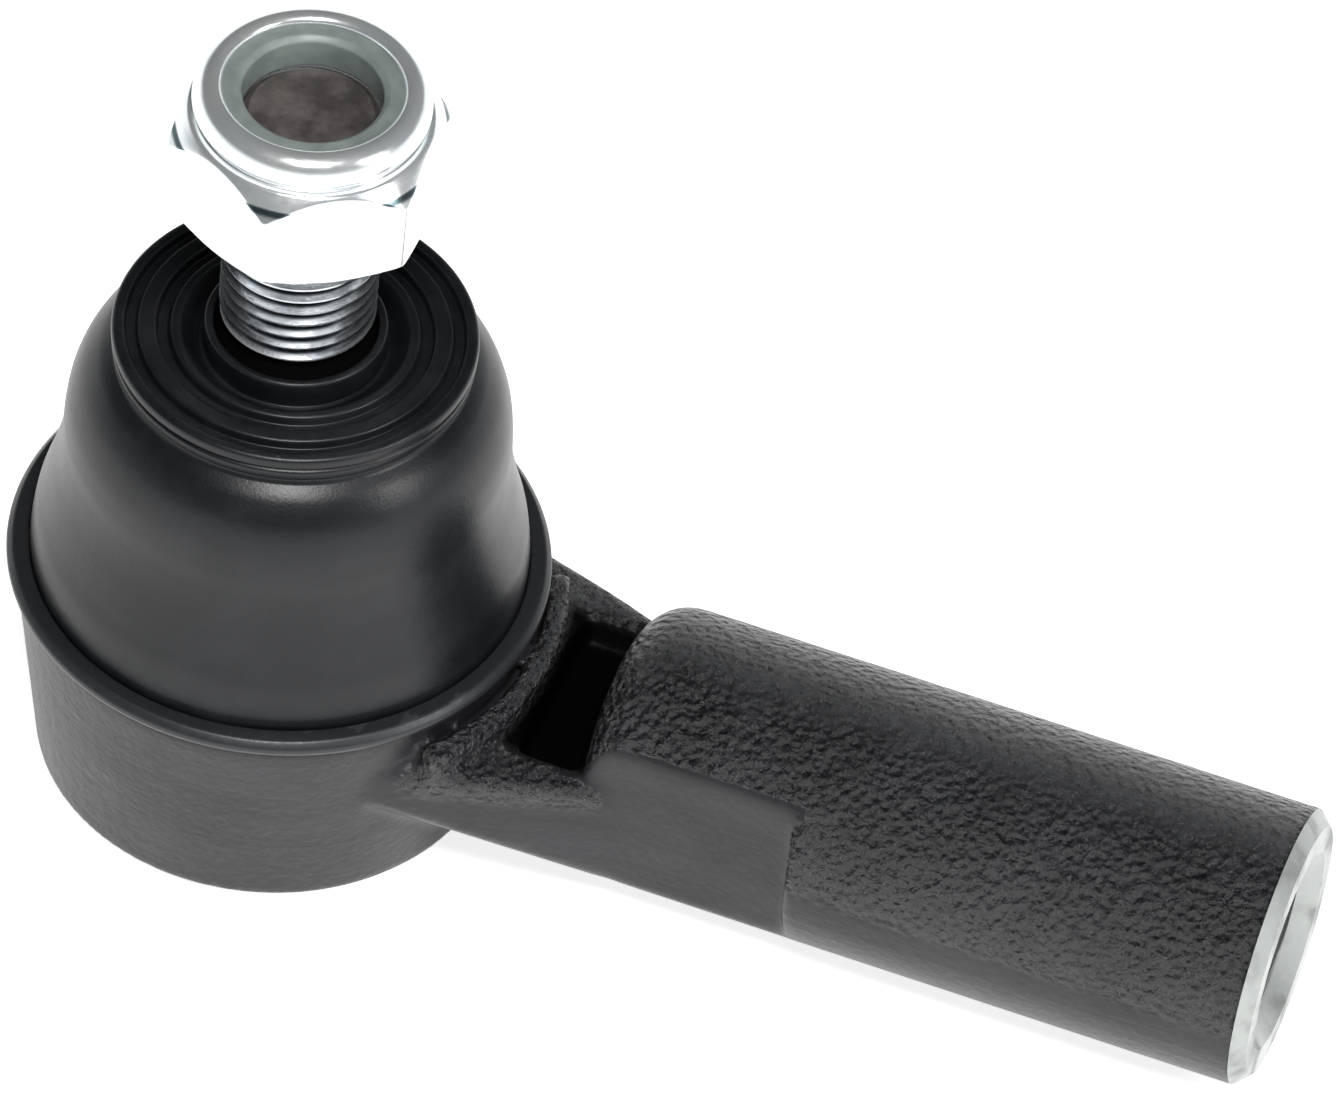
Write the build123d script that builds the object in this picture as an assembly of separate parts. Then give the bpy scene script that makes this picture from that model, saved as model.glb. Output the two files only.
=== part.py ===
from build123d import *
import os
from math import cos, pi, radians, sin, sqrt, tan

os.makedirs("parts", exist_ok=True)

# Origin: ball centre. +Z runs up the stud, +X along the shank towards its threaded mouth. Millimetres.

# ---- ball stud ----
BALL_R = 10.0
BALL_FLAT_Z = -9.6                 # small turned flat at the pole
NECK_R = 5.9
NECK_TOP_Z = 13.2
TAPER_BASE_Z, TAPER_TOP_Z = 16.2, 33.0
TAPER_TOP_R, TAPER_SLOPE = 6.15, 0.05        # 1:10 taper on the diameter
TAPER_EDGE = 0.3
RELIEF_R = 5.15
STUD_END_Z = 55.4
STUD_TIP_R = 4.7

# ---- M12 x 1.25 stud thread, M14 x 1.5 shank thread ----
STUD_THREAD_R, STUD_PITCH = 6.0, 1.25
STUD_THREAD_Z0 = 34.0
STUD_RUN_OUT, STUD_TIP_CHAMFER = 1.2, 1.6
SHANK_THREAD_R, SHANK_PITCH = 7.0, 1.5
SHANK_MINOR_R = 6.45               # 12.9 mm tapping drill
FLANK = tan(radians(30))
THREAD_GAP = 0.08                  # radial and flank clearance of the nut on the stud

# ---- socket ----
SOCKET_TOP_Z, SOCKET_BOTTOM_Z = 7.2, -12.1
SOCKET_TOP_R, SOCKET_BOTTOM_R = 20.4, 18.15
SOCKET_EDGE = 0.5
SPIGOT_R, SPIGOT_TOP_Z = 14.5, 9.2
SEAT_BORE_R, SEAT_ROOF_Z = 13.8, 6.5
THROAT_R, THROAT_TOP_R = 10.3, 11.6
COVER_R, COVER_TOP_Z, COVER_T = 15.9, -9.6, 1.4
COVER_DISH, COVER_DISH_R, DISH_WALL = 1.0, 7.0, 0.6
LIP_R = 14.3                       # inside radius of the edge rolled over the cover
FIT_GAP = 0.05

# ---- seats and spring ----
SEAT_SPLIT = 0.2                   # each seat stops this far from the ball's equator
SEAT_MOUTH_R, SEAT_THROAT_R, SEAT_THROAT_Z = 10.0, 8.95, 4.6
SEAT_FOOT_R, SEAT_FOOT_Z = 11.6, -8.3
SPRING_IN_R, SPRING_OUT_R, SPRING_T = 8.0, 13.0, 0.6

# ---- forged neck and shank ----
SHANK_R, SHANK_END_X, SHANK_START_X = 11.1, 83.6, 28.2
SHANK_CHAMFER = 1.1
FLAT_HALF, FLAT_END_X = 8.5, 46.0  # two wrench flats, 17 mm across
# x, half width and top height of each section
NECK_SECTIONS = [(12.0, 15.0, 3.0), (18.0, 13.1, 3.1), (24.0, 11.2, 3.2), (31.0, 8.7, 2.8)]
DRAFT = radians(47.5)              # slope of the neck's drafted underside
NECK_EDGE = 0.6
POCKET_X0, POCKET_X1, POCKET_HALF, POCKET_Z = 22.9, 28.8, 7.6, 0.6    # hollow behind the ledge
LEDGE_R, LEDGE_IN_R, LEDGE_ROOT_R = 22.7, 20.95, 16.0
LEDGE_TOP_Z, LEDGE_GROOVE_Z, LEDGE_LOW_Z = 5.6, 3.6, 1.5
LEDGE_START, LEDGE_SWEEP = -37, 61   # degrees about the stud axis, from +X
LEDGE_EDGE, LEDGE_UNDERCUT = 0.35, 7.0
SHOULDER_FILLET = 4.0
BORE_DEPTH, THREAD_DEPTH, COUNTERSINK_R = 34.0, 29.0, 8.0

# ---- boot ----
RING_R, RING_TOP_Z, RING_EDGE = 21.1, 8.5, 0.3
BOOT_BASE_R, BOOT_FOOT_R, BOOT_Z0 = 19.3, 14.55, 7.3
BOOT_WALL, BAND_TOP_Z, FOOT_TOP_Z = 1.75, 12.6, 9.3
BOOT_OUTER = [(17.9, 16.0), (17.1, 20.0), (16.8, 23.5), (16.0, 27.0), (14.3, 29.4)]    # radius, height
BOOT_INNER = [(11.4, 29.3), (14.0, 27.4), (15.2, 24.0), (15.5, 20.5), (16.3, 16.4)]
LIP_NECK_R, LIP_IN_R, LIP_LOW_Z = 13.2, 8.2, 28.3
LIP_GROOVES, GROOVE_DEPTH = [(13.0, 12.0), (10.6, 9.5)], 0.8
LIP_RIDGE_R, RECESS_R, RECESS = 8.5, 7.5, 1.2
SLIP = 0.12                        # boot to stud, and round the ring inside the lip
LIP_TOP_Z, LIP_BOTTOM_Z, BOOT_LIP_R = 32.5, 30.4, 14.0
COLLAR_TOP_Z, COLLAR_OUT_R = 33.4, 7.0
INSERT_R0, INSERT_R1, INSERT_Z0, INSERT_Z1 = 8.8, 12.6, 30.2, 30.9

# ---- nut ----
NUT_Z0, NUT_HEX_Z1, NUT_TOP_Z = 46.7, 55.7, 58.5
NUT_AF, NUT_COLLAR_R = 19.0, 9.0
NYLON_R, NYLON_BORE_R = 7.95, 5.3
NYLON_Z0, NYLON_Z1, NYLON_CHAMFER = 55.2, 57.9, 0.4
NUT_ANGLE = 33.0                   # turn of the hexagon about +Z
NUT_MINOR_R, NUT_MOUTH_R = 5.42, 6.35
NUT_CHAMFER_STEEP = 2.4            # top corners are turned back this much deeper than the bottom ones
NUT_FACE_R = NUT_AF / 2 - 0.2
CRIMP_R = 6.8


def revolved(points):
    """Solid of revolution about Z from (radius, height) corners."""
    with BuildPart() as p:
        with BuildSketch(Plane.XZ):
            with BuildLine():
                Polyline(*points, close=True)
            make_face()
        revolve(axis=Axis.Z)
    return p.part


def tube(r_out, r_in, z0, z1):
    return Pos(0, 0, (z0 + z1) / 2) * (Cylinder(r_out, z1 - z0) - Cylinder(r_in, z1 - z0))


def taper_r(z):
    return TAPER_TOP_R + (TAPER_TOP_Z - z) * TAPER_SLOPE


def thread_ridge(r_base, r_crest, half_base, half_crest, pitch, z0, length, sink=0.1):
    """Helical ridge of trapezoid section; its flanks run on past r_base so it can be joined or cut."""
    path = Helix(pitch=pitch, height=length, radius=r_base, center=(0, 0, z0))
    section = Plane(origin=path @ 0, x_dir=(1, 0, 0), z_dir=path % 0)
    foot = half_base + sink * (half_base - half_crest) / (r_crest - r_base)
    tip = r_crest - r_base
    with BuildPart() as p:
        with BuildSketch(section):
            with BuildLine():
                Polyline((-sink, -foot), (tip, -half_crest), (tip, half_crest), (-sink, foot), close=True)
            make_face()
        sweep(path=path, is_frenet=True)
    return p.part


def half_width(r, r_major, pitch):
    """Half the axial width of a 60 degree ridge at radius r, crest flat of an eighth of the pitch."""
    return pitch / 16 + (r_major - r) * FLANK


# ---------------------------------------------------------------- ball stud
def make_ball_stud():
    root = STUD_THREAD_R - 0.6134 * STUD_PITCH
    ball = Sphere(BALL_R) - Pos(0, 0, BALL_FLAT_Z - BALL_R) * Box(4 * BALL_R, 4 * BALL_R, 2 * BALL_R)
    shaft = revolved([(0, 0), (NECK_R, 0), (NECK_R, NECK_TOP_Z),
                      (taper_r(TAPER_BASE_Z) - TAPER_EDGE, TAPER_BASE_Z - TAPER_EDGE),
                      (taper_r(TAPER_BASE_Z), TAPER_BASE_Z), (TAPER_TOP_R, TAPER_TOP_Z),
                      (RELIEF_R, TAPER_TOP_Z + 2 * TAPER_EDGE), (RELIEF_R, STUD_THREAD_Z0),
                      (0, STUD_THREAD_Z0)])
    # the ridge runs past both ends of its core and is turned back to the run-out and the tip chamfer
    half = half_width(root, STUD_THREAD_R, STUD_PITCH)
    core_h = STUD_END_Z - STUD_THREAD_Z0
    core = Pos(0, 0, STUD_THREAD_Z0 + core_h / 2) * Cylinder(root, core_h + 4 * STUD_PITCH)
    ridge = thread_ridge(root, STUD_THREAD_R, half, STUD_PITCH / 16, STUD_PITCH,
                         STUD_THREAD_Z0 - STUD_PITCH, core_h + 2 * STUD_PITCH)
    outside = STUD_THREAD_R + 0.2
    envelope = revolved([(0, STUD_THREAD_Z0), (RELIEF_R, STUD_THREAD_Z0),
                         (outside, STUD_THREAD_Z0 + STUD_RUN_OUT), (outside, STUD_END_Z - STUD_TIP_CHAMFER),
                         (STUD_TIP_R, STUD_END_Z), (0, STUD_END_Z)])
    return ball + shaft + ((core + ridge) & envelope)


# ---------------------------------------------------------------- lock nut
def make_lock_nut():
    across_corners = NUT_AF / cos(radians(30))
    height = NUT_HEX_Z1 - NUT_Z0
    hexagon = Rot(0, 0, NUT_ANGLE) * extrude(RegularPolygon(across_corners / 2, 6), height)
    hexagon = Pos(0, 0, NUT_Z0) * hexagon
    corner = across_corners / 2 + 0.3
    rise = (corner - NUT_FACE_R) * FLANK
    blank = revolved([(0, NUT_Z0), (NUT_FACE_R, NUT_Z0), (corner, NUT_Z0 + rise),
                      (corner, NUT_HEX_Z1 - NUT_CHAMFER_STEEP * rise), (NUT_FACE_R - 0.2, NUT_HEX_Z1),
                      (0, NUT_HEX_Z1)])
    # collar: rounded over at the top to hold the insert, slightly necked where it meets the hexagon
    root_r, round_r = NUT_COLLAR_R - 0.3, 1.7
    arc = [(NUT_COLLAR_R - round_r * (1 - cos(radians(t))), NUT_TOP_Z - round_r * (1 - sin(radians(t))))
           for t in range(0, 91, 15)]
    collar = revolved([(0, NUT_HEX_Z1 - 1), (root_r, NUT_HEX_Z1 - 1), (root_r, NUT_HEX_Z1 + 0.15),
                       (NUT_COLLAR_R, NUT_HEX_Z1 + 0.45)] + arc + [(0, NUT_TOP_Z)])
    body = (hexagon & blank) + collar
    pocket_low, pocket_high, pocket_r = NYLON_Z0 - 0.1, NYLON_Z1 + FIT_GAP, NYLON_R + FIT_GAP
    pocket = revolved([(0, pocket_low), (pocket_r, pocket_low), (pocket_r, pocket_high), (CRIMP_R, pocket_high),
                       (CRIMP_R, NUT_TOP_Z + 1), (0, NUT_TOP_Z + 1)])
    minor = NUT_MINOR_R
    half = half_width(minor, STUD_THREAD_R, STUD_PITCH) + THREAD_GAP / cos(radians(30))
    crest_r = STUD_THREAD_R + THREAD_GAP
    half_top = half_width(crest_r, STUD_THREAD_R, STUD_PITCH) + THREAD_GAP / cos(radians(30))
    turns_below = int((NUT_Z0 - STUD_THREAD_Z0) / STUD_PITCH) - 2
    groove_z0 = STUD_THREAD_Z0 + turns_below * STUD_PITCH
    groove = thread_ridge(minor, crest_r, half, half_top, STUD_PITCH, groove_z0,
                          NYLON_Z0 - groove_z0 + STUD_PITCH)
    hole = Pos(0, 0, (NUT_Z0 + NUT_TOP_Z) / 2) * Cylinder(minor, NUT_TOP_Z - NUT_Z0 + 2)
    mouth = revolved([(0, NUT_Z0 - 1), (NUT_MOUTH_R, NUT_Z0 - 1), (NUT_MOUTH_R, NUT_Z0),
                      (minor, NUT_Z0 + NUT_MOUTH_R - minor), (0, NUT_Z0 + NUT_MOUTH_R - minor)])
    return body - groove - hole - pocket - mouth


def make_nylon_insert():
    return revolved([(NYLON_BORE_R, NYLON_Z0), (NYLON_R, NYLON_Z0), (NYLON_R, NYLON_Z1),
                     (NYLON_BORE_R + NYLON_CHAMFER, NYLON_Z1), (NYLON_BORE_R, NYLON_Z1 - NYLON_CHAMFER)])


# ---------------------------------------------------------------- socket internals
def make_upper_seat():
    grip = BALL_R + FIT_GAP
    outer, roof = SEAT_BORE_R - FIT_GAP, SEAT_ROOF_Z - FIT_GAP
    blank = revolved([(0, SEAT_SPLIT), (outer, SEAT_SPLIT), (outer, roof), (SEAT_MOUTH_R, roof),
                      (SEAT_THROAT_R, SEAT_THROAT_Z), (0, SEAT_THROAT_Z)])
    return blank - Sphere(grip)


def make_lower_seat():
    grip = BALL_R + FIT_GAP
    outer = SEAT_BORE_R - FIT_GAP
    blank = revolved([(0, -SEAT_SPLIT), (outer, -SEAT_SPLIT), (outer, SEAT_FOOT_Z + 1.3),
                      (SEAT_FOOT_R, SEAT_FOOT_Z), (0, SEAT_FOOT_Z)])
    return blank - Sphere(grip)


def make_preload_spring():
    low, high = COVER_TOP_Z + FIT_GAP, SEAT_FOOT_Z - FIT_GAP
    return revolved([(SPRING_IN_R, high - SPRING_T), (SPRING_OUT_R, low), (SPRING_OUT_R, low + SPRING_T),
                     (SPRING_IN_R, high)])


def make_end_cover():
    top, under = COVER_TOP_Z, COVER_TOP_Z - COVER_T
    foot, rim = COVER_DISH_R - COVER_DISH / 2, COVER_DISH_R + COVER_DISH / 2
    return revolved([(0, top - COVER_DISH), (foot, top - COVER_DISH), (rim, top), (COVER_R, top),
                     (COVER_R, under), (rim + DISH_WALL, under), (foot + DISH_WALL, under - COVER_DISH),
                     (0, under - COVER_DISH)])


# ---------------------------------------------------------------- boot parts
def make_retaining_ring():
    low, inner = SOCKET_TOP_Z + FIT_GAP, BOOT_BASE_R + FIT_GAP
    return revolved([(inner, low), (RING_R - RING_EDGE, low), (RING_R, low + RING_EDGE),
                     (RING_R, RING_TOP_Z - RING_EDGE), (RING_R - RING_EDGE, RING_TOP_Z), (inner, RING_TOP_Z)])


def make_dust_boot():
    inside = BOOT_BASE_R - BOOT_WALL
    with BuildPart() as p:
        with BuildSketch(Plane.XZ):
            with BuildLine():
                base = Line((BOOT_FOOT_R, BOOT_Z0), (BOOT_BASE_R, BOOT_Z0))
                band = Line(base @ 1, (BOOT_BASE_R - 0.1, BAND_TOP_Z))
                Spline(band @ 1, *BOOT_OUTER, (LIP_NECK_R, LIP_BOTTOM_Z - 0.4),
                       tangents=[(-0.1, 1), (-1, 0.25)])
                # rubbing face of the lip: outer edge, two grooves, a ridge, a recess and the collar on the stud
                Polyline((LIP_NECK_R, LIP_BOTTOM_Z - 0.4), (BOOT_LIP_R - 0.3, LIP_BOTTOM_Z),
                         (BOOT_LIP_R, LIP_BOTTOM_Z + 0.4), (BOOT_LIP_R, LIP_TOP_Z - 0.45),
                         (BOOT_LIP_R - 0.45, LIP_TOP_Z),
                         *[p for r_out, r_in in LIP_GROOVES for p in groove_corners(r_out, r_in)],
                         (LIP_RIDGE_R, LIP_TOP_Z), (RECESS_R, LIP_TOP_Z - RECESS),
                         (COLLAR_OUT_R, LIP_TOP_Z - RECESS), (COLLAR_OUT_R, COLLAR_TOP_Z - 0.2),
                         (COLLAR_OUT_R - 0.2, COLLAR_TOP_Z), (COLLAR_OUT_R - 0.5, COLLAR_TOP_Z),
                         (taper_r(COLLAR_TOP_Z - 0.4) + SLIP, COLLAR_TOP_Z - 0.4),
                         (taper_r(LIP_LOW_Z) + SLIP, LIP_LOW_Z), (taper_r(LIP_LOW_Z) + 1.2, LIP_LOW_Z),
                         (LIP_IN_R, LIP_LOW_Z + 0.9), BOOT_INNER[0])
                Spline(*BOOT_INNER, (inside, BAND_TOP_Z), tangents=[(1, -0.2), (0.1, -1)])
                Polyline((inside, BAND_TOP_Z), (inside, FOOT_TOP_Z + 1.2), (inside - 0.8, FOOT_TOP_Z + 0.2),
                         (BOOT_FOOT_R, FOOT_TOP_Z), (BOOT_FOOT_R, BOOT_Z0))
            make_face()
        revolve(axis=Axis.Z)
    cavity = tube(INSERT_R1 + SLIP / 2, INSERT_R0 - SLIP / 2, INSERT_Z0 - SLIP / 2, INSERT_Z1 + SLIP / 2)
    return p.part - cavity


def groove_corners(r_out, r_in):
    """Corners of one ring groove in the top of the lip, from its outer rim inwards."""
    floor = LIP_TOP_Z - GROOVE_DEPTH
    return [(r_out, LIP_TOP_Z), (r_out - 0.2, floor), (r_in + 0.2, floor), (r_in, LIP_TOP_Z)]


def make_lip_ring():
    return tube(INSERT_R1, INSERT_R0, INSERT_Z0, INSERT_Z1)


# ---------------------------------------------------------------- forged housing
def neck_section(x, half, top):
    """Flat-topped section: upright sides, then drafted sides that meet the bar's own round underside."""
    ty, tz = SHANK_R * sin(DRAFT), SHANK_R * cos(DRAFT)
    knee = max((half * sin(DRAFT) - SHANK_R) / cos(DRAFT), -tz + 0.05)
    with BuildSketch(Plane(origin=(x, 0, 0), x_dir=(0, 1, 0), z_dir=(1, 0, 0))) as sk:
        with BuildLine():
            ThreePointArc((-ty, -tz), (0, -SHANK_R), (ty, -tz))
            Polyline((ty, -tz), (half, knee), (half, top - NECK_EDGE), (half - NECK_EDGE, top),
                     (NECK_EDGE - half, top), (-half, top - NECK_EDGE), (-half, knee), (-ty, -tz))
        make_face()
    return sk.sketch


def make_housing():
    socket = revolved([(0, SOCKET_BOTTOM_Z), (SOCKET_BOTTOM_R - SOCKET_EDGE, SOCKET_BOTTOM_Z),
                       (SOCKET_BOTTOM_R, SOCKET_BOTTOM_Z + SOCKET_EDGE),
                       (SOCKET_TOP_R, SOCKET_TOP_Z - SOCKET_EDGE), (SOCKET_TOP_R - SOCKET_EDGE, SOCKET_TOP_Z),
                       (SPIGOT_R, SOCKET_TOP_Z), (SPIGOT_R, SPIGOT_TOP_Z), (0, SPIGOT_TOP_Z)])
    # ledge round the neck side of the socket, with a turned groove between it and the boot ring
    with BuildPart() as sector:
        with BuildSketch(Plane.XZ):
            with BuildLine():
                Polyline((LEDGE_ROOT_R, LEDGE_GROOVE_Z), (LEDGE_IN_R, LEDGE_GROOVE_Z),
                         (LEDGE_IN_R, LEDGE_TOP_Z - LEDGE_EDGE), (LEDGE_IN_R + LEDGE_EDGE, LEDGE_TOP_Z),
                         (LEDGE_R - LEDGE_EDGE, LEDGE_TOP_Z), (LEDGE_R, LEDGE_TOP_Z - LEDGE_EDGE),
                         (LEDGE_R, LEDGE_LOW_Z), (LEDGE_ROOT_R, LEDGE_LOW_Z - LEDGE_UNDERCUT), close=True)
            make_face()
        revolve(axis=Axis.Z, revolution_arc=LEDGE_SWEEP)
    ledge = Rot(0, 0, LEDGE_START) * sector.part
    # shank: round bar with a domed shoulder and two wrench flats
    length = SHANK_END_X - SHANK_START_X
    bar = Pos((SHANK_START_X + SHANK_END_X) / 2, 0, 0) * (Rot(0, 90, 0) * Cylinder(SHANK_R, length))
    bar = fillet(bar.edges().filter_by(GeomType.CIRCLE).sort_by(Axis.X)[0], SHOULDER_FILLET)
    bar = chamfer(bar.edges().filter_by(GeomType.CIRCLE).sort_by(Axis.X)[-1], SHANK_CHAMFER)
    flat_depth = 10.0
    for side in (1, -1):
        slab = Box(FLAT_END_X, flat_depth, 3 * SHANK_R)
        bar = bar - Pos(FLAT_END_X / 2, side * (FLAT_HALF + flat_depth / 2), 0) * slab
    # threaded bore in the shank
    minor = SHANK_MINOR_R
    drill = revolved([(0, -1), (COUNTERSINK_R + 1, -1), (COUNTERSINK_R, 0), (minor, COUNTERSINK_R - minor),
                      (minor, BORE_DEPTH), (0, BORE_DEPTH + minor * FLANK)])
    half = half_width(minor, SHANK_THREAD_R, SHANK_PITCH)
    groove = thread_ridge(minor, SHANK_THREAD_R, half, SHANK_PITCH / 16, SHANK_PITCH, -SHANK_PITCH,
                          THREAD_DEPTH + SHANK_PITCH)
    to_mouth = Pos(SHANK_END_X, 0, 0) * Rot(0, -90, 0)
    bar = bar - to_mouth * groove - to_mouth * drill     # groove first: it is cut cleanly in solid metal
    # neck: lofted through its sections
    web = loft([neck_section(*at) for at in NECK_SECTIONS])
    pocket_size = (POCKET_X1 - POCKET_X0, 2 * POCKET_HALF, SHANK_R)
    web = web - Pos(POCKET_X0, 0, POCKET_Z) * Box(*pocket_size, align=(Align.MIN, Align.CENTER, Align.MIN))
    body = socket + ledge + web + bar
    # ball cavity, cover recess and rolled edge
    cover_r, cover_low = COVER_R + FIT_GAP, COVER_TOP_Z - COVER_T - FIT_GAP
    cavity = revolved([(0, SOCKET_BOTTOM_Z - 1), (LIP_R, SOCKET_BOTTOM_Z - 1), (LIP_R, cover_low),
                       (cover_r, cover_low), (cover_r, COVER_TOP_Z),
                       (SEAT_BORE_R, COVER_TOP_Z), (SEAT_BORE_R, SEAT_ROOF_Z), (THROAT_R, SEAT_ROOF_Z),
                       (THROAT_TOP_R, SPIGOT_TOP_Z), (THROAT_TOP_R, SPIGOT_TOP_Z + 1), (0, SPIGOT_TOP_Z + 1)])
    return body - cavity


PARTS = {
    "housing": make_housing,
    "end_cover": make_end_cover,
    "upper_ball_seat": make_upper_seat,
    "lower_ball_seat": make_lower_seat,
    "preload_spring": make_preload_spring,
    "ball_stud": make_ball_stud,
    "boot_retaining_ring": make_retaining_ring,
    "dust_boot": make_dust_boot,
    "boot_lip_ring": make_lip_ring,
    "lock_nut": make_lock_nut,
    "nylon_insert": make_nylon_insert,
}

for node, make in PARTS.items():
    solid = make()
    if isinstance(solid, (Compound, Part)) and len(solid.solids()) == 1:
        solid = solid.solids()[0]
    print(node, "solids", len(solid.solids()), "volume mm3", round(solid.volume, 1), "valid", solid.is_valid)
    export_step(solid, f"parts/{node}.step")
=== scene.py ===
import bpy
import bmesh
import math
import numpy as np
from mathutils import Matrix, Vector


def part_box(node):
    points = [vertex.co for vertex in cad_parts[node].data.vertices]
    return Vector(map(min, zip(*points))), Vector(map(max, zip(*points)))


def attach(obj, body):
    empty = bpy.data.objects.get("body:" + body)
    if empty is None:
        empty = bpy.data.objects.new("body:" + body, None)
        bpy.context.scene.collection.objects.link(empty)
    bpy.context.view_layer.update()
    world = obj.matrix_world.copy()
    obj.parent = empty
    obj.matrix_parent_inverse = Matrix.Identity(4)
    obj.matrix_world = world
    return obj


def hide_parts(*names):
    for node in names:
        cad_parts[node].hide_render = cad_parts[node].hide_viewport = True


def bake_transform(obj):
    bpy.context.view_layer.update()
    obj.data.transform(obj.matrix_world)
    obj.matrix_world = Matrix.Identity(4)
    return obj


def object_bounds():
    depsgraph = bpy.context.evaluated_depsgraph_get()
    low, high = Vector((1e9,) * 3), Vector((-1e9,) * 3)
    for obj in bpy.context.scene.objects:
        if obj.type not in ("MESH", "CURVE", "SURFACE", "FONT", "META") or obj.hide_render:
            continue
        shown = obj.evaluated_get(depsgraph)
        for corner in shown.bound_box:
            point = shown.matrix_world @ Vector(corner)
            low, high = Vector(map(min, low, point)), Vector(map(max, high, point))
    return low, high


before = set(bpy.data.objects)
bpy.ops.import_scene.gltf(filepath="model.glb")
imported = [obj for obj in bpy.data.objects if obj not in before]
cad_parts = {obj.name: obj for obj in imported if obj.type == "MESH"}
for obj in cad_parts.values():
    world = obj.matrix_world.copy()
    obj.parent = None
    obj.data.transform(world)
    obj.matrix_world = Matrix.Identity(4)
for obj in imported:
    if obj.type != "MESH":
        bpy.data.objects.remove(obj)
CAD_LO, CAD_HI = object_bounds()
MM = 0.001
HEX_ANGLE = math.radians(30)        # half the angle between two flats of a hexagon, and the chamfers' slope


# ---------------------------------------------------------------- mesh helpers
def new_object(name, verts, faces, smooth_angle=None):
    me = bpy.data.meshes.new(name)
    me.from_pydata([tuple(v) for v in verts], [], faces)
    me.validate()
    ob = bpy.data.objects.new(name, me)
    bpy.context.scene.collection.objects.link(ob)
    shade(ob, smooth_angle)
    return ob


def shade(ob, angle):
    """Smooth shading, with edges sharper than angle (degrees) kept sharp."""
    me = ob.data
    me.polygons.foreach_set("use_smooth", [True] * len(me.polygons))
    if angle is not None:
        bm = bmesh.new()
        bm.from_mesh(me)
        for e in bm.edges:
            e.smooth = len(e.link_faces) == 2 and e.calc_face_angle(0) < math.radians(angle)
        bm.to_mesh(me)
        bm.free()
    me.update()


def rounded(points, radii, arc_step=12, nearly_straight=88):
    """Open polyline of (r, z) with inner corners as arcs; radii is one radius, or one for each point."""
    out = [points[0]]
    for i in range(1, len(points) - 1):
        a, b, c = (np.array(points[j], float) for j in (i - 1, i, i + 1))
        rad = radii[i] if isinstance(radii, (list, tuple)) else radii
        u, v = a - b, c - b
        lu, lv = np.linalg.norm(u), np.linalg.norm(v)
        u, v = u / lu, v / lv
        half = math.acos(max(-1, min(1, float(u @ v)))) / 2
        if rad <= 0 or half > math.radians(nearly_straight):
            out.append(tuple(b))
            continue
        cut = min(rad / math.tan(half), lu * 0.45, lv * 0.45)
        rad = cut * math.tan(half)
        centre = b + (u + v) / np.linalg.norm(u + v) * rad / math.sin(half)
        p, q = b + u * cut - centre, b + v * cut - centre
        sweep = math.acos(max(-1, min(1, float(p @ q) / rad ** 2)))
        steps = max(2, int(math.degrees(sweep) / arc_step))
        for k in range(steps + 1):
            t = k / steps
            w = (p * math.sin((1 - t) * sweep) + q * math.sin(t * sweep)) / math.sin(sweep)
            out.append(tuple(centre + w))
    out.append(points[-1])
    return out


def resample(points, step):
    """The same line with no stretch longer than step."""
    out = [points[0]]
    for a, b in zip(points[:-1], points[1:]):
        n = max(1, int(math.ceil(math.dist(a, b) / step)))
        out += [(a[0] + (b[0] - a[0]) * k / n, a[1] + (b[1] - a[1]) * k / n) for k in range(1, n + 1)]
    return out


def smooth_line(points, samples=12):
    """Catmull-Rom curve through (r, z) points."""
    p = [points[0]] + list(points) + [points[-1]]
    out = []
    for i in range(1, len(p) - 2):
        p0, p1, p2, p3 = (np.array(p[j], float) for j in (i - 1, i, i + 1, i + 2))
        for k in range(samples):
            t = k / samples
            out.append(tuple(0.5 * (2 * p1 + (p2 - p0) * t + (2 * p0 - 5 * p1 + 4 * p2 - p3) * t ** 2
                                    + (3 * p1 - p0 - 3 * p2 + p3) * t ** 3)))
    return out + [tuple(points[-1])]


def lathe(name, profile, segments, angle=40):
    """Solid of revolution about Z from a closed (radius, height) line in millimetres."""
    pr = np.array(profile, float) * MM
    n, ang = len(pr), np.linspace(0, 2 * math.pi, segments, endpoint=False)
    verts = np.stack([np.outer(np.cos(ang), pr[:, 0]), np.outer(np.sin(ang), pr[:, 0]),
                      np.tile(pr[:, 1], (segments, 1))], -1).reshape(-1, 3)
    faces = []
    for s in range(segments):
        a, b = s * n, ((s + 1) % segments) * n
        for k in range(n):
            k2 = (k + 1) % n
            faces.append((a + k, b + k, b + k2, a + k2))
    return new_object(name, verts, faces, angle)


def from_cad(node, name, angle=32):
    """A copy of a CAD node with joined vertices and true smooth shading, standing for that node."""
    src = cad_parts[node]
    bm = bmesh.new()
    bm.from_mesh(src.data)
    bmesh.ops.remove_doubles(bm, verts=bm.verts, dist=2e-6)
    me = bpy.data.meshes.new(name)
    bm.to_mesh(me)
    bm.free()
    ob = bpy.data.objects.new(name, me)
    bpy.context.scene.collection.objects.link(ob)
    if "custom_normal" in me.attributes:
        me.attributes.remove(me.attributes["custom_normal"])
    shade(ob, angle)
    return ob


def apply_modifier(ob, kind, **settings):
    """Runs one modifier and puts its result in the place of the object's mesh."""
    mod = ob.modifiers.new(kind.lower(), kind)
    for key, value in settings.items():
        setattr(mod, key, value)
    dg = bpy.context.evaluated_depsgraph_get()
    me = bpy.data.meshes.new_from_object(ob.evaluated_get(dg))
    ob.modifiers.clear()
    ob.data = me


def keep_faces(ob, wanted):
    """Deletes each face whose centre doesn't pass wanted(centre)."""
    bm = bmesh.new()
    bm.from_mesh(ob.data)
    rest = [f for f in bm.faces if not wanted(f.calc_center_median())]
    bmesh.ops.delete(bm, geom=rest, context="FACES")
    bm.to_mesh(ob.data)
    bm.free()


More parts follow.
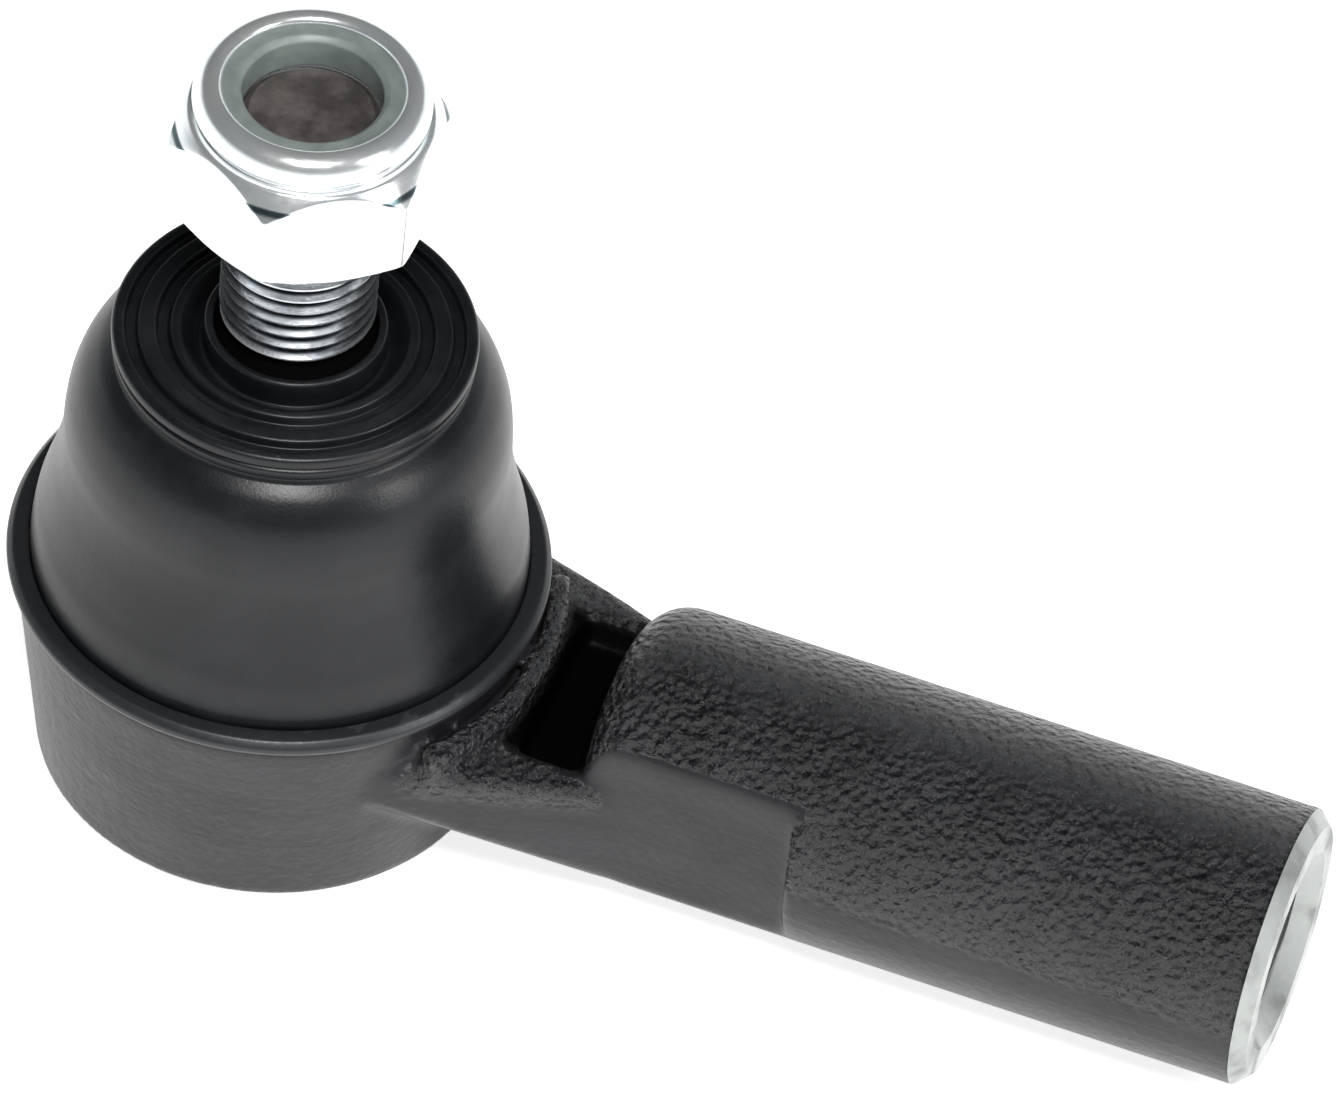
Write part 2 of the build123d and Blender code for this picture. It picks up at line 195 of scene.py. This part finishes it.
def coords(ob):
    """The mesh's vertices as an array, one row each."""
    co = np.zeros(len(ob.data.vertices) * 3)
    ob.data.vertices.foreach_get("co", co)
    return co.reshape(-1, 3)


def paint(ob, name, values):
    """A number for each vertex, which materials read as an attribute."""
    at = ob.data.attributes.new(name, "FLOAT", "POINT")
    at.data.foreach_set("value", np.asarray(values, np.float32))


# ---------------------------------------------------------------- material helpers
class Mat:
    """Small wrapper that keeps a Principled material's node wiring short."""

    def __init__(self, name, **consts):
        self.m = bpy.data.materials.new(name)
        self.m.use_nodes = True
        self.t = self.m.node_tree
        self.bsdf = self.t.nodes["Principled BSDF"]
        for k, v in consts.items():
            self.bsdf.inputs[k.replace("_", " ")].default_value = v
        self.pos = self.node("ShaderNodeTexCoord").outputs["Object"]

    def node(self, kind, **props):
        n = self.t.nodes.new(kind)
        for k, v in props.items():
            setattr(n, k, v)
        return n

    def link(self, a, b):
        self.t.links.new(a, b)

    def put(self, socket, value):
        if isinstance(value, bpy.types.NodeSocket):
            self.link(value, socket)
        else:
            socket.default_value = value

    def math(self, op, a, b=0.0, c=0.0):
        n = self.node("ShaderNodeMath", operation=op)
        for s, v in zip(n.inputs, (a, b, c)):
            self.put(s, v)
        return n.outputs[0]

    def noise(self, scale, detail, rough, vector=None):
        n = self.node("ShaderNodeTexNoise")
        self.put(n.inputs["Vector"], vector or self.pos)
        n.inputs["Scale"].default_value = scale
        n.inputs["Detail"].default_value = detail
        n.inputs["Roughness"].default_value = rough
        return n.outputs["Fac"]

    def pebbles(self, scale, smooth):
        n = self.node("ShaderNodeTexVoronoi", feature="SMOOTH_F1")
        self.link(self.pos, n.inputs["Vector"])
        n.inputs["Scale"].default_value = scale
        n.inputs["Smoothness"].default_value = smooth
        return n.outputs["Distance"]

    def stretch(self, sx, sy, sz):
        n = self.node("ShaderNodeMapping")
        self.link(self.pos, n.inputs["Vector"])
        n.inputs["Scale"].default_value = (sx, sy, sz)
        return n.outputs["Vector"]

    def ramp(self, fac, low, high, a=0.0, b=1.0):
        n = self.node("ShaderNodeMapRange", clamp=True)
        n.interpolation_type = "SMOOTHSTEP"
        for s, v in zip(("Value", "From Min", "From Max", "To Min", "To Max"), (fac, low, high, a, b)):
            self.put(n.inputs[s], v)
        return n.outputs["Result"]

    def mix(self, fac, a, b):
        n = self.node("ShaderNodeMix", data_type="RGBA")
        self.put(n.inputs[0], fac)
        for s, v in ((n.inputs[6], a), (n.inputs[7], b)):
            self.put(s, v if isinstance(v, bpy.types.NodeSocket) else (*v, 1.0))
        return n.outputs[2]

    def attr(self, name):
        return self.node("ShaderNodeAttribute", attribute_name=name).outputs["Fac"]

    def axis(self, which):
        n = self.node("ShaderNodeSeparateXYZ")
        self.link(self.pos, n.inputs[0])
        return n.outputs[which]

    def edges(self):
        """Pointiness: above 0.5 on outer edges."""
        return self.node("ShaderNodeNewGeometry").outputs["Pointiness"]

    def bump(self, height, distance, strength=1.0, normal=None):
        n = self.node("ShaderNodeBump")
        self.put(n.inputs["Height"], height)
        n.inputs["Distance"].default_value = distance
        self.put(n.inputs["Strength"], strength)
        if normal is not None:
            self.link(normal, n.inputs["Normal"])
        return n.outputs["Normal"]

    def set(self, **sockets):
        for k, v in sockets.items():
            s = self.bsdf.inputs[k.replace("_", " ")]
            if isinstance(v, tuple) and len(v) == 3:
                v = (*v, 1.0)
            self.put(s, v)
        return self


def dress(ob, mat):
    ob.data.materials.clear()
    ob.data.materials.append(mat.m)


# ---------------------------------------------------------------- materials
def forging_material():
    """Black paint over a forged skin: a fine pebbled grain where "cast" is 1, near smooth where it is 0;
    painted shade makes the pocket behind the ledge nearly black, with little reflection.
    """
    m = Mat("black_forging", Metallic=0.0, IOR=1.5)
    cast, pocket_shade, edge_fac = m.attr("cast"), m.attr("pocket_shade"), m.edges()
    warp = m.noise(700, 2, 0.5)
    pebbles = m.pebbles(1450, 0.75)
    grain = m.noise(2300, 3, 0.65)
    fine, wide = m.noise(6500, 2, 0.5), m.noise(150, 3, 0.5)
    height = m.math("ADD", m.math("MULTIPLY", pebbles, 1.1),
                    m.math("MULTIPLY_ADD", grain, 0.9, m.math("MULTIPLY", warp, 0.7)))
    turned = m.noise(60, 4, 0.6, m.stretch(0.5, 0.5, 16))
    n1 = m.bump(wide, 0.0007, 0.22)
    n2 = m.bump(height, 0.00075, m.math("MULTIPLY_ADD", cast, 0.98, 0.008), n1)
    n3 = m.bump(fine, 0.00004, 0.3, n2)
    n4 = m.bump(turned, 0.00022, m.math("MULTIPLY_ADD", cast, -0.2, 0.22), n3)
    patch = m.ramp(wide, 0.35, 0.7)
    base = m.mix(patch, (0.0080, 0.0082, 0.0095), (0.016, 0.0165, 0.0185))
    trim = m.mix(patch, (0.0115, 0.0112, 0.0130), (0.0185, 0.0180, 0.0205))
    band = m.ramp(m.noise(330, 2, 0.4, m.stretch(0.02, 0.02, 1.0)), 0.40, 0.62, 0.0, 0.55)
    trim = m.mix(band, trim, (0.0075, 0.0075, 0.0085))
    base = m.mix(cast, trim, base)
    # lighter colour on the outer edges of the smooth metal
    lighter_edges = m.math("MULTIPLY", m.ramp(edge_fac, 0.515, 0.60, 0, 0.2), m.math("SUBTRACT", 1.0, cast))
    base = m.mix(lighter_edges, base, (0.09, 0.09, 0.095))
    # painted shade: the pocket behind the ledge is made nearly black
    base = m.mix(pocket_shade, base, (0.0012, 0.0012, 0.0013))
    rough = m.math("ADD", m.math("MULTIPLY_ADD", cast, -0.17, 0.44),
                   m.math("MULTIPLY_ADD", grain, 0.16, -0.08))
    # painted shade also weakens the reflection in that pocket
    spec = m.math("MULTIPLY_ADD", pocket_shade, -0.34, m.math("MULTIPLY_ADD", cast, 0.20, 0.36))
    return m.set(Base_Color=base, Roughness=rough, Normal=n4, Specular_IOR_Level=spec)


def end_face_material():
    m = Mat("machined_end", Metallic=0.45)
    rings = m.noise(30, 4, 0.6, m.stretch(1, 40, 40))
    grime = m.ramp(m.noise(260, 4, 0.6), 0.4, 0.72)
    base = m.mix(grime, (0.36, 0.375, 0.365), (0.20, 0.21, 0.20))
    return m.set(Base_Color=base, Roughness=m.math("MULTIPLY_ADD", grime, 0.2, 0.36),
                 Normal=m.bump(rings, 0.00008, 0.3))


def rubber_material():
    m = Mat("boot_rubber", Metallic=0.0, IOR=1.45, Specular_IOR_Level=0.4)
    grain, blot = m.noise(3800, 3, 0.6), m.noise(170, 4, 0.6)
    base = m.mix(m.ramp(blot, 0.42, 0.75), (0.0050, 0.0056, 0.0068), (0.0105, 0.0112, 0.0128))
    return m.set(Base_Color=base, Roughness=m.math("MULTIPLY_ADD", blot, 0.14, 0.29),
                 Normal=m.bump(grain, 0.00003, 0.5, m.bump(blot, 0.0005, 0.08)))


def ring_material():
    m = Mat("black_ring", Metallic=0.2, IOR=1.5)
    grain = m.noise(2600, 3, 0.6)
    # painted highlight: lighter colour on the outer edges
    base = m.mix(m.ramp(m.edges(), 0.51, 0.58, 0, 0.3), (0.018, 0.019, 0.021), (0.08, 0.08, 0.08))
    return m.set(Base_Color=base, Roughness=m.math("MULTIPLY_ADD", grain, 0.25, 0.28),
                 Normal=m.bump(grain, 0.00004, 0.3))


def zinc_material():
    """Bright zinc plate; painted shade darkens the small corner facets of the hexagon, most along their
    upper edge.
    """
    m = Mat("bright_zinc", Metallic=0.8)
    fine, cloud = m.noise(1500, 3, 0.5), m.noise(320, 4, 0.6)
    scratch = m.noise(420, 3, 0.7, m.stretch(0.15, 0.15, 3.0))
    x, y, z = m.axis(0), m.axis(1), m.axis(2)
    r = m.math("SQRT", m.math("ADD", m.math("MULTIPLY", x, x), m.math("MULTIPLY", y, y)))
    below = m.math("SUBTRACT", HEX_TOP * MM, z)
    cone_z = m.math("MULTIPLY_ADD", r, CHAMFER_RISE, -CHAMFER_RISE * CHAMFER_R * MM)
    cone = m.math("SUBTRACT", below, cone_z)
    on_cone = m.math("COMPARE", cone, 0.0, 0.00012)
    facet = m.ramp(below, 0.00105, 0.0012)
    edge = m.math("MULTIPLY", facet, m.ramp(below, 0.0017, 0.0014))
    # painted shade on the corner facets, darkest along their upper edge
    shade_it = m.math("MULTIPLY", on_cone,
                      m.math("MULTIPLY_ADD", edge, 0.75, m.math("MULTIPLY", facet, 0.22)))
    base = m.mix(m.ramp(cloud, 0.35, 0.75), (0.95, 0.97, 0.97), (0.84, 0.90, 0.92))
    base = m.mix(shade_it, base, (0.04, 0.07, 0.08))
    return m.set(Base_Color=base, Roughness=m.math("MULTIPLY_ADD", fine, 0.12, 0.14),
                 Normal=m.bump(scratch, 0.00004, 0.3, m.bump(fine, 0.00002, 0.2)))


def stud_material():
    """Bright rolled thread and ball, dark oxide on the tip and below the thread; below the thread painted
    shade makes it near black, without reflection.
    """
    m = Mat("stud_steel")
    z = m.axis(2)
    tip = m.ramp(z, TIP_Z - 0.0011, TIP_Z - 0.0007)
    under = m.ramp(z, THREAD_Z + 0.0012, THREAD_Z - 0.0001)
    ball = m.ramp(z, 0.0105, 0.0095)
    dark = m.math("MULTIPLY", m.math("MAXIMUM", tip, under), m.math("SUBTRACT", 1.0, ball))
    mottled, fine = m.noise(330, 4, 0.65), m.noise(2400, 3, 0.6)
    spot = m.noise(130, 1, 0.4)
    oxide = m.mix(m.ramp(mottled, 0.36, 0.70), (0.050, 0.044, 0.042), (0.115, 0.102, 0.098))
    oxide = m.mix(m.math("MULTIPLY", m.ramp(spot, 0.55, 0.66), 0.35), oxide, (0.24, 0.225, 0.21))
    # painted shade: below the thread the dark oxide is made near black
    oxide = m.mix(under, oxide, (0.002, 0.002, 0.002))
    bright = m.mix(m.ramp(mottled, 0.4, 0.75), (0.70, 0.72, 0.74), (0.40, 0.42, 0.45))
    # painted shade in the thread's grooves, below the crests
    bright = m.mix(m.attr("groove"), bright, (0.025, 0.030, 0.034))
    base = m.mix(dark, bright, oxide)
    rough = m.math("ADD", m.math("MULTIPLY_ADD", dark, 0.30, 0.13), m.math("MULTIPLY", fine, 0.14))
    n = m.bump(mottled, 0.0003, m.math("MULTIPLY", dark, 0.6), m.bump(fine, 0.00003, 0.35))
    # painted shade also takes the reflection away below the thread
    spec = m.math("MULTIPLY", m.math("SUBTRACT", 1.0, m.math("MULTIPLY", under, dark)), 0.5)
    return m.set(Base_Color=base, Metallic=m.math("MULTIPLY_ADD", dark, -0.9, 1.0), Roughness=rough,
                 Normal=n, Specular_IOR_Level=spec)


def clouded_material(name, low, high, cloud, fine, rough, grain=0.00003, **consts):
    """Two close colours in soft clouds; a fine grain in the roughness and the bump. cloud and fine are
    noise settings, and rough is the roughness's change with the grain, then its least value."""
    m = Mat(name, **consts)
    cloud, fine = m.noise(*cloud), m.noise(*fine)
    return m.set(Base_Color=m.mix(m.ramp(cloud, 0.3, 0.7), low, high),
                 Roughness=m.math("MULTIPLY_ADD", fine, *rough), Normal=m.bump(fine, grain, 0.3))


def nylon_material():
    return clouded_material("grey_nylon", (0.17, 0.20, 0.19), (0.22, 0.255, 0.24), (500, 3, 0.5),
                            (3000, 2, 0.5), (0.2, 0.33), Metallic=0.0, IOR=1.53,
                            Subsurface_Weight=0.15, Subsurface_Scale=0.001)


def sheet_steel_material():
    return clouded_material("pressed_sheet", (0.52, 0.53, 0.54), (0.36, 0.37, 0.38), (200, 4, 0.6),
                            (2200, 3, 0.6), (0.25, 0.25), 0.00004, Metallic=1.0)


def acetal_material():
    return clouded_material("acetal", (0.72, 0.71, 0.66), (0.80, 0.79, 0.74), (240, 3, 0.5),
                            (1800, 3, 0.5), (0.2, 0.3), Metallic=0.0, IOR=1.48)


def spring_material():
    return clouded_material("spring_steel", (0.30, 0.30, 0.32), (0.20, 0.20, 0.22), (2200, 3, 0.6),
                            (2200, 3, 0.6), (0.2, 0.25), Metallic=1.0)


# ---------------------------------------------------------------- sizes read from the frame
def top_of(node):
    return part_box(node)[1]


TIP_Z = top_of("ball_stud").z
LIP_TOP = top_of("dust_boot").z / MM                  # top of the boot's inner collar, mm
BOOT_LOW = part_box("dust_boot")[0].z / MM
BOOT_R = top_of("dust_boot").x / MM
THREAD_Z = (LIP_TOP + 0.9) * MM                       # where the bright thread starts, m
THREAD_CREST_R, THREAD_FADE = 5.86, 0.34              # the thread is bright at its crests, with painted shade below them, mm
SHANK_END = top_of("housing").x / MM
RING_LO, RING_HI = (p.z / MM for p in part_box("boot_retaining_ring"))
RING_R = top_of("boot_retaining_ring").x / MM
NUT_LO, NUT_HI = (p.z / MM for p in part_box("lock_nut"))
NYL_LO, NYL_HI = (p.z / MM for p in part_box("nylon_insert"))
HEX_FLAT = 9.5                                        # half the nut's width across flats, mm
HEX_TOP = NUT_HI - 2.8                                # top of its hexagon, under its collar
NUT_TURN = math.radians(33)                           # how far the nut is turned on the stud at rest
NUT_THREAD_R = 0.0064                                 # outside of the nut's thread, m
CHAMFER_R = HEX_FLAT - 0.25                           # radius where its corner chamfers start
CHAMFER_STEEP = 2.2                                   # the upper chamfer's slope over the lower one's
CHAMFER_RISE = CHAMFER_STEEP * math.tan(HEX_ANGLE)

forging, end_metal = forging_material(), end_face_material()
rubber, ring_black, zinc = rubber_material(), ring_material(), zinc_material()
nylon, stud_steel, sheet = nylon_material(), stud_material(), sheet_steel_material()
acetal, spring_steel = acetal_material(), spring_material()


# ---------------------------------------------------------------- forged housing
END_FACE_X = (SHANK_END - 1.15) * MM                  # the machined end of the shank, m
BORE_X, BORE_R = 0.046, 0.0085                        # the bore lies beyond BORE_X and within BORE_R, m
PARTING_Z = 0.2                                       # the forged grain starts above this height, mm
LEDGE_Z, LEDGE_R = 3.6, 24.0                          # the ledge is above LEDGE_Z and within LEDGE_R, mm
FLAT_Y, FLAT_X0, FLAT_X1 = 8.5, 27, 46.5              # wrench flats of the shank, mm
POCKET_R, POCKET_X = 22.4, 29.4                       # the hollow behind the ledge, mm
POCKET_Y, POCKET_Z = 8.9, 4.6


def fade(values, start, width):
    """0 before start, rising to 1 over width; a negative width fades the other way."""
    return np.clip((values - start) / width, 0, 1)


def in_bore(p):
    return p.x > END_FACE_X or (p.x > BORE_X and math.hypot(p.y, p.z) < BORE_R)


def melt_edges(skin):
    """Softens the parting edges: most at the neck, little at the machined edges of the socket."""
    co = coords(skin) / MM
    r_axis = np.hypot(co[:, 0], co[:, 1])
    neck = fade(co[:, 0], 9, 6) * fade(r_axis, 17, 2.5)
    shank_end = fade(co[:, 0], SHANK_END - 1.6, -2)
    ledge = fade(co[:, 2], LEDGE_Z, 1.0) * fade(r_axis, LEDGE_R, -1.0)
    weight = np.round(np.clip(0.05 + neck * (1 - 0.8 * ledge), 0, 1) * shank_end, 2)
    group = skin.vertex_groups.new(name="melt")
    for w in np.unique(weight):
        group.add(np.nonzero(weight == w)[0].tolist(), float(w), "REPLACE")
    apply_modifier(skin, "SMOOTH", factor=0.5, iterations=26, vertex_group="melt")


def paint_forging(skin):
    """Forged grain on the upper half of the shank and the ledge; trimmed and turned metal elsewhere;
    painted shade in the pocket behind the ledge.
    """
    co = coords(skin) / MM
    x, y, z = co[:, 0], np.abs(co[:, 1]), co[:, 2]
    r_axis = np.hypot(x, y)
    flat = (np.abs(y - FLAT_Y) < 0.35) & (x > FLAT_X0) & (x < FLAT_X1)
    cast = fade(z, PARTING_Z, 1.5) * fade(r_axis, 20.5, 0.8)
    # painted shade: mask of the pocket behind the ledge, which also gets no forged grain
    shaded_pocket = fade(z, POCKET_Z, -1.2) * fade(z, -1.0, 1.0) * fade(r_axis, POCKET_R, 0.5)
    shaded_pocket = shaded_pocket * fade(x, POCKET_X, -1.0) * fade(y, POCKET_Y, -1.6)
    cast = np.where(flat, 0.05, cast) * (1 - shaded_pocket)
    paint(skin, "cast", np.clip(cast, 0.06, 1))
    paint(skin, "pocket_shade", shaded_pocket)


def forged_housing():
    """The CAD forging with its parting edges melted into one another, and its bore and end left crisp."""
    crisp = from_cad("housing", "shank_bore")
    skin = crisp.copy()
    skin.data = crisp.data.copy()
    skin.name = "housing_forging"
    bpy.context.scene.collection.objects.link(skin)
    apply_modifier(skin, "REMESH", mode="VOXEL", voxel_size=0.00034)
    melt_edges(skin)
    keep_faces(skin, lambda p: not in_bore(p))
    keep_faces(crisp, in_bore)
    shade(skin, None)
    paint_forging(skin)
    return skin, crisp


skin, bore = forged_housing()
dress(skin, forging)
dress(bore, end_metal)
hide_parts("housing")
for ob in (skin, bore):
    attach(ob, "housing_body")


# ---------------------------------------------------------------- boot and its rings
def boot_profile():
    """Closed outline of the boot: outside wall, grooved lip, inside wall and foot."""
    b, t, top = BOOT_R, LIP_TOP - 0.9, LIP_TOP
    groove = 0.7                                      # depth of the two grooves in the lip
    outer = smooth_line([(b - 0.1, 10.6), (18.95, 12.2), (18.45, 14.0), (17.95, 16.0), (17.5, 18.2),
                         (17.25, 20.4), (17.15, 22.6), (16.85, 24.8), (16.1, 26.9), (14.9, 28.6),
                         (13.75, 29.6)])
    foot = rounded([(14.6, BOOT_LOW), (b, BOOT_LOW), (b, 9.4), outer[0]], 0.3)
    creases = [((13.5, 30.0), 0.25), ((13.85, 30.3), 0.3), ((13.95, 31.0), 0.3), ((13.6, 31.25), 0.1),
               ((14.0, 31.5), 0.3)]
    rim = [((14.0, t - 0.1), 0.5), ((13.05, t), 0.3)]
    grooves = [corner for left, right, edge in ((12.85, 12.15, 11.95), (10.45, 9.7, 9.45))
               for corner in (((left, t - groove), 0.15), ((right, t - groove), 0.15), ((edge, t), 0.3))]
    grooves.insert(3, ((10.65, t), 0.3))
    collar = [((8.8, t), 0.4), ((7.75, t - 1.2), 0.3), ((7.3, t - 1.5), 0.1), ((7.0, t - 1.4), 0.1),
              ((7.0, top), 0.3), ((6.25, top), 0.3), ((6.3, top - 4.6), 0.2), ((7.6, 28.2), 0.2),
              ((8.2, 29.2), 0.2)]
    corners = [((13.75, 29.6), 0)] + creases + rim + grooves + collar + [((11.4, 29.3), 0)]
    lip = rounded([p for p, _ in corners], [r for _, r in corners])
    inner = smooth_line([(11.4, 29.3), (14.0, 27.6), (15.2, 24.8), (15.5, 20.8), (16.3, 16.6),
                         (17.4, 12.8), (17.6, 10.6)])
    end = rounded([(17.6, 10.6), (16.8, 9.5), (14.6, 9.3), (14.6, BOOT_LOW)], 0.2)
    line = foot + outer[1:] + lip[1:] + inner[1:] + end[1:-1]
    return resample(line, 0.45)


boot = lathe("boot_skin", boot_profile(), 224)
dress(boot, rubber)
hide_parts("dust_boot")
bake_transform(boot)

ring_in = BOOT_R + 0.05
ring_line = rounded([
    (ring_in, RING_LO), (RING_R - 0.15, RING_LO), (RING_R, RING_LO + 0.35), (RING_R, RING_HI - 0.55),
    (RING_R - 0.5, RING_HI), (ring_in + 0.15, RING_HI), (ring_in, RING_HI - 0.15), (ring_in, RING_LO)],
    [0, 0.1, 0.2, 0.4, 0.4, 0.1, 0.1, 0])
ring = lathe("retaining_ring", resample(ring_line[:-1], 0.5), 256)
dress(ring, ring_black)
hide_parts("boot_retaining_ring")
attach(ring, "housing_body")


# ---------------------------------------------------------------- lock nut
def rounded_outline(points, radii, steps=3):
    """Like rounded(), with the same number of points for every outline: quadratic corner arcs."""
    out = [points[0]]
    for i in range(1, len(points) - 1):
        a, b, c = (np.array(points[j], float) for j in (i - 1, i, i + 1))
        u, v = a - b, c - b
        lu, lv = max(np.linalg.norm(u), 1e-6), max(np.linalg.norm(v), 1e-6)
        p, q = b + u / lu * min(radii[i], lu * 0.45), b + v / lv * min(radii[i], lv * 0.45)
        for k in range(steps + 1):
            t = k / steps
            out.append(tuple((1 - t) ** 2 * p + 2 * t * (1 - t) * b + t * t * q))
    return out + [points[-1]]


def nut_outline(r):
    """(radius, height) line of the nut where its hexagon reaches out to r: hexagon, chamfers, collar."""
    flat, z0, z1, top = HEX_FLAT, NUT_LO, HEX_TOP, NUT_HI
    rise = (r - flat + 0.25) * math.tan(HEX_ANGLE)
    hexagon = [((5.6, z0 + 0.6), 0), ((6.35, z0), 0.1), ((flat - 0.25, z0), 0.12), ((r, z0 + rise), 0.22),
               ((r, z1 - CHAMFER_STEEP * rise), 0.18), ((flat - 0.3, z1), 0.2)]
    collar = [((8.75, z1), 0.05), ((8.6, z1 + 0.1), 0.05), ((8.65, z1 + 0.3), 0.05), ((9.0, z1 + 0.7), 0.4),
              ((9.0, top - 1.4), 0.6), ((8.55, top - 0.5), 0.5), ((7.9, top - 0.05), 0.4),
              ((7.35, top), 0.3)]
    crimp = [((6.95, top - 0.2), 0.2), ((6.78, top - 0.5), 0.1), ((6.85, top - 0.6), 0.05),
             ((7.9, top - 0.6), 0)]
    corners = hexagon + collar + crimp
    return rounded_outline([p for p, _ in corners], [radius for _, radius in corners])


def nut_mesh(samples, corner=70):
    """Hexagon with rounded corners (sharper for a larger corner), conical chamfers and crimped collar."""
    angles = np.linspace(0, 2 * math.pi, samples, endpoint=False)
    verts = []
    for th in angles:
        c = np.maximum(np.cos(th - NUT_TURN - HEX_ANGLE - np.arange(6) * math.pi / 3), 0)
        line = nut_outline(HEX_FLAT / (c ** corner).sum() ** (1 / corner))
        verts += [(r * math.cos(th) * MM, r * math.sin(th) * MM, z * MM) for r, z in line]
    n = len(line)
    faces = [(s * n + k, ((s + 1) % samples) * n + k, ((s + 1) % samples) * n + k + 1, s * n + k + 1)
             for s in range(samples) for k in range(n - 1)]
    return new_object("nut_shell", verts, faces, 50)


nut = nut_mesh(720)
dress(nut, zinc)
nut_core = from_cad("lock_nut", "nut_thread")
keep_faces(nut_core, lambda p: math.hypot(p.x, p.y) <= NUT_THREAD_R)
dress(nut_core, zinc)
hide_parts("lock_nut")
for ob in (nut, nut_core):
    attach(ob, "nut_body")

insert = lathe("nylon_ring", resample(rounded([
    (5.3, NYL_LO), (7.9, NYL_LO), (7.9, NYL_HI - 0.02), (5.75, NYL_HI), (5.3, NYL_HI - 0.4),
    (5.3, NYL_LO + 0.1)],
    [0, 0.1, 0.1, 0.35, 0.3, 0]), 0.4), 160)
dress(insert, nylon)
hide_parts("nylon_insert")
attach(insert, "insert_body")


# ---------------------------------------------------------------- stud and inner parts
stud = from_cad("ball_stud", "stud_skin", 35)
dress(stud, stud_steel)
co = coords(stud) / MM
threaded = (co[:, 2] > THREAD_Z / MM - 0.5) & (co[:, 2] < TIP_Z / MM - 1.4)
# painted shade: darker from the crests down into the thread's grooves
groove = fade(np.hypot(co[:, 0], co[:, 1]), THREAD_CREST_R, -THREAD_FADE)
paint(stud, "groove", np.where(threaded, groove, 0))
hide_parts("ball_stud")
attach(stud, "stud_body")
for node, name, mat, slot, body in (
        ("end_cover", "cover_plate", sheet, "cover_steel", "housing_body"),
        ("upper_ball_seat", "seat_upper", acetal, "acetal", "housing_body"),
        ("lower_ball_seat", "seat_lower", acetal, "acetal", "housing_body"),
        ("preload_spring", "spring_washer", spring_steel, "stud_steel", "housing_body"),
        ("boot_lip_ring", "lip_ring", ring_black, "black_steel", "lip_body")):
    ob = from_cad(node, name)
    dress(ob, mat)
    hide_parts(node)
    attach(ob, body)

# ---------------------------------------------------------------- floor, light, camera
floor_mat = Mat("pale_floor", Roughness=0.8, Specular_IOR_Level=0.1, Emission_Strength=0.8)
floor_mat.set(Base_Color=(0.93, 0.93, 0.93), Emission_Color=(1.0, 1.0, 1.0))
FLOOR_HALF = 3.0
floor_corners = [(x * FLOOR_HALF, y * FLOOR_HALF, CAD_LO.z)
                 for x, y in ((-1, -1), (1, -1), (1, 1), (-1, 1))]
floor = new_object("floor", floor_corners, [(0, 1, 2, 3)])
dress(floor, floor_mat)


def studio_world(horizon, sky, height):
    """A bright strip round the horizon under a dark ceiling."""
    world = bpy.data.worlds.new("studio")
    bpy.context.scene.world = world
    world.use_nodes = True
    t = world.node_tree
    up = t.nodes.new("ShaderNodeSeparateXYZ")
    t.links.new(t.nodes.new("ShaderNodeTexCoord").outputs["Generated"], up.inputs[0])
    rise = t.nodes.new("ShaderNodeMapRange")
    rise.interpolation_type = "SMOOTHSTEP"
    t.links.new(up.outputs[2], rise.inputs["Value"])
    for name, value in (("From Min", 0.0), ("From Max", height), ("To Min", horizon), ("To Max", sky)):
        rise.inputs[name].default_value = value
    t.links.new(rise.outputs["Result"], t.nodes["Background"].inputs["Strength"])
    t.nodes["Background"].inputs["Color"].default_value = (0.95, 0.98, 1.0, 1)


def direction(az, el):
    """From the part towards azimuth az (0 is -Y, positive towards +X) and elevation el, in radians."""
    return Vector((math.sin(az) * math.cos(el), -math.cos(az) * math.cos(el), math.sin(el)))


def softbox(name, azimuth, elevation, distance, size, power):
    """Area light over the shank's neck, at this azimuth and elevation in degrees."""
    way = direction(math.radians(azimuth), math.radians(elevation))
    data = bpy.data.lights.new(name, "AREA")
    data.shape, data.size, data.size_y, data.energy = "RECTANGLE", size[0], size[1], power
    ob = bpy.data.objects.new(name, data)
    bpy.context.scene.collection.objects.link(ob)
    ob.location = Vector((0.025, 0, 0.01)) + way * distance
    ob.rotation_mode = "QUATERNION"
    ob.rotation_quaternion = way.to_track_quat("Z", "Y")


studio_world(1.3, 0.05, 0.30)
softbox("key_box", 20, 60, 0.9, (0.26, 0.20), 7.5)
softbox("side_box", 80, 32, 0.8, (0.14, 0.30), 2.5)
bpy.context.scene.view_settings.view_transform = "Standard"

# camera: a long lens, looking down at the retaining ring and slightly rolled
AZ, EL, ROLL = 0.280, 0.810, 0.107                    # radians
DIST, SIDE, RISE = 0.930149, 0.030158, -0.000229      # from the ring's centre, in the camera's axes, m
SENSOR, FOCAL = 36, 12043.4 * 36 / 1341               # mm
back = direction(AZ, EL)
right = Vector((math.cos(AZ), math.sin(AZ), 0))
up = back.cross(right)
right, up = (right * math.cos(ROLL) + up * math.sin(ROLL)), (up * math.cos(ROLL) - right * math.sin(ROLL))
cam_data = bpy.data.cameras.new("camera")
cam_data.sensor_width = SENSOR
cam_data.lens = FOCAL
cam_data.clip_start, cam_data.clip_end = 0.01, 20
cam = bpy.data.objects.new("camera", cam_data)
bpy.context.scene.collection.objects.link(cam)
place = Matrix((right, up, back)).transposed().to_4x4()
place.translation = Vector((0, 0, RING_HI * MM)) + back * DIST + right * SIDE + up * RISE
cam.matrix_world = place
bpy.context.scene.camera = cam
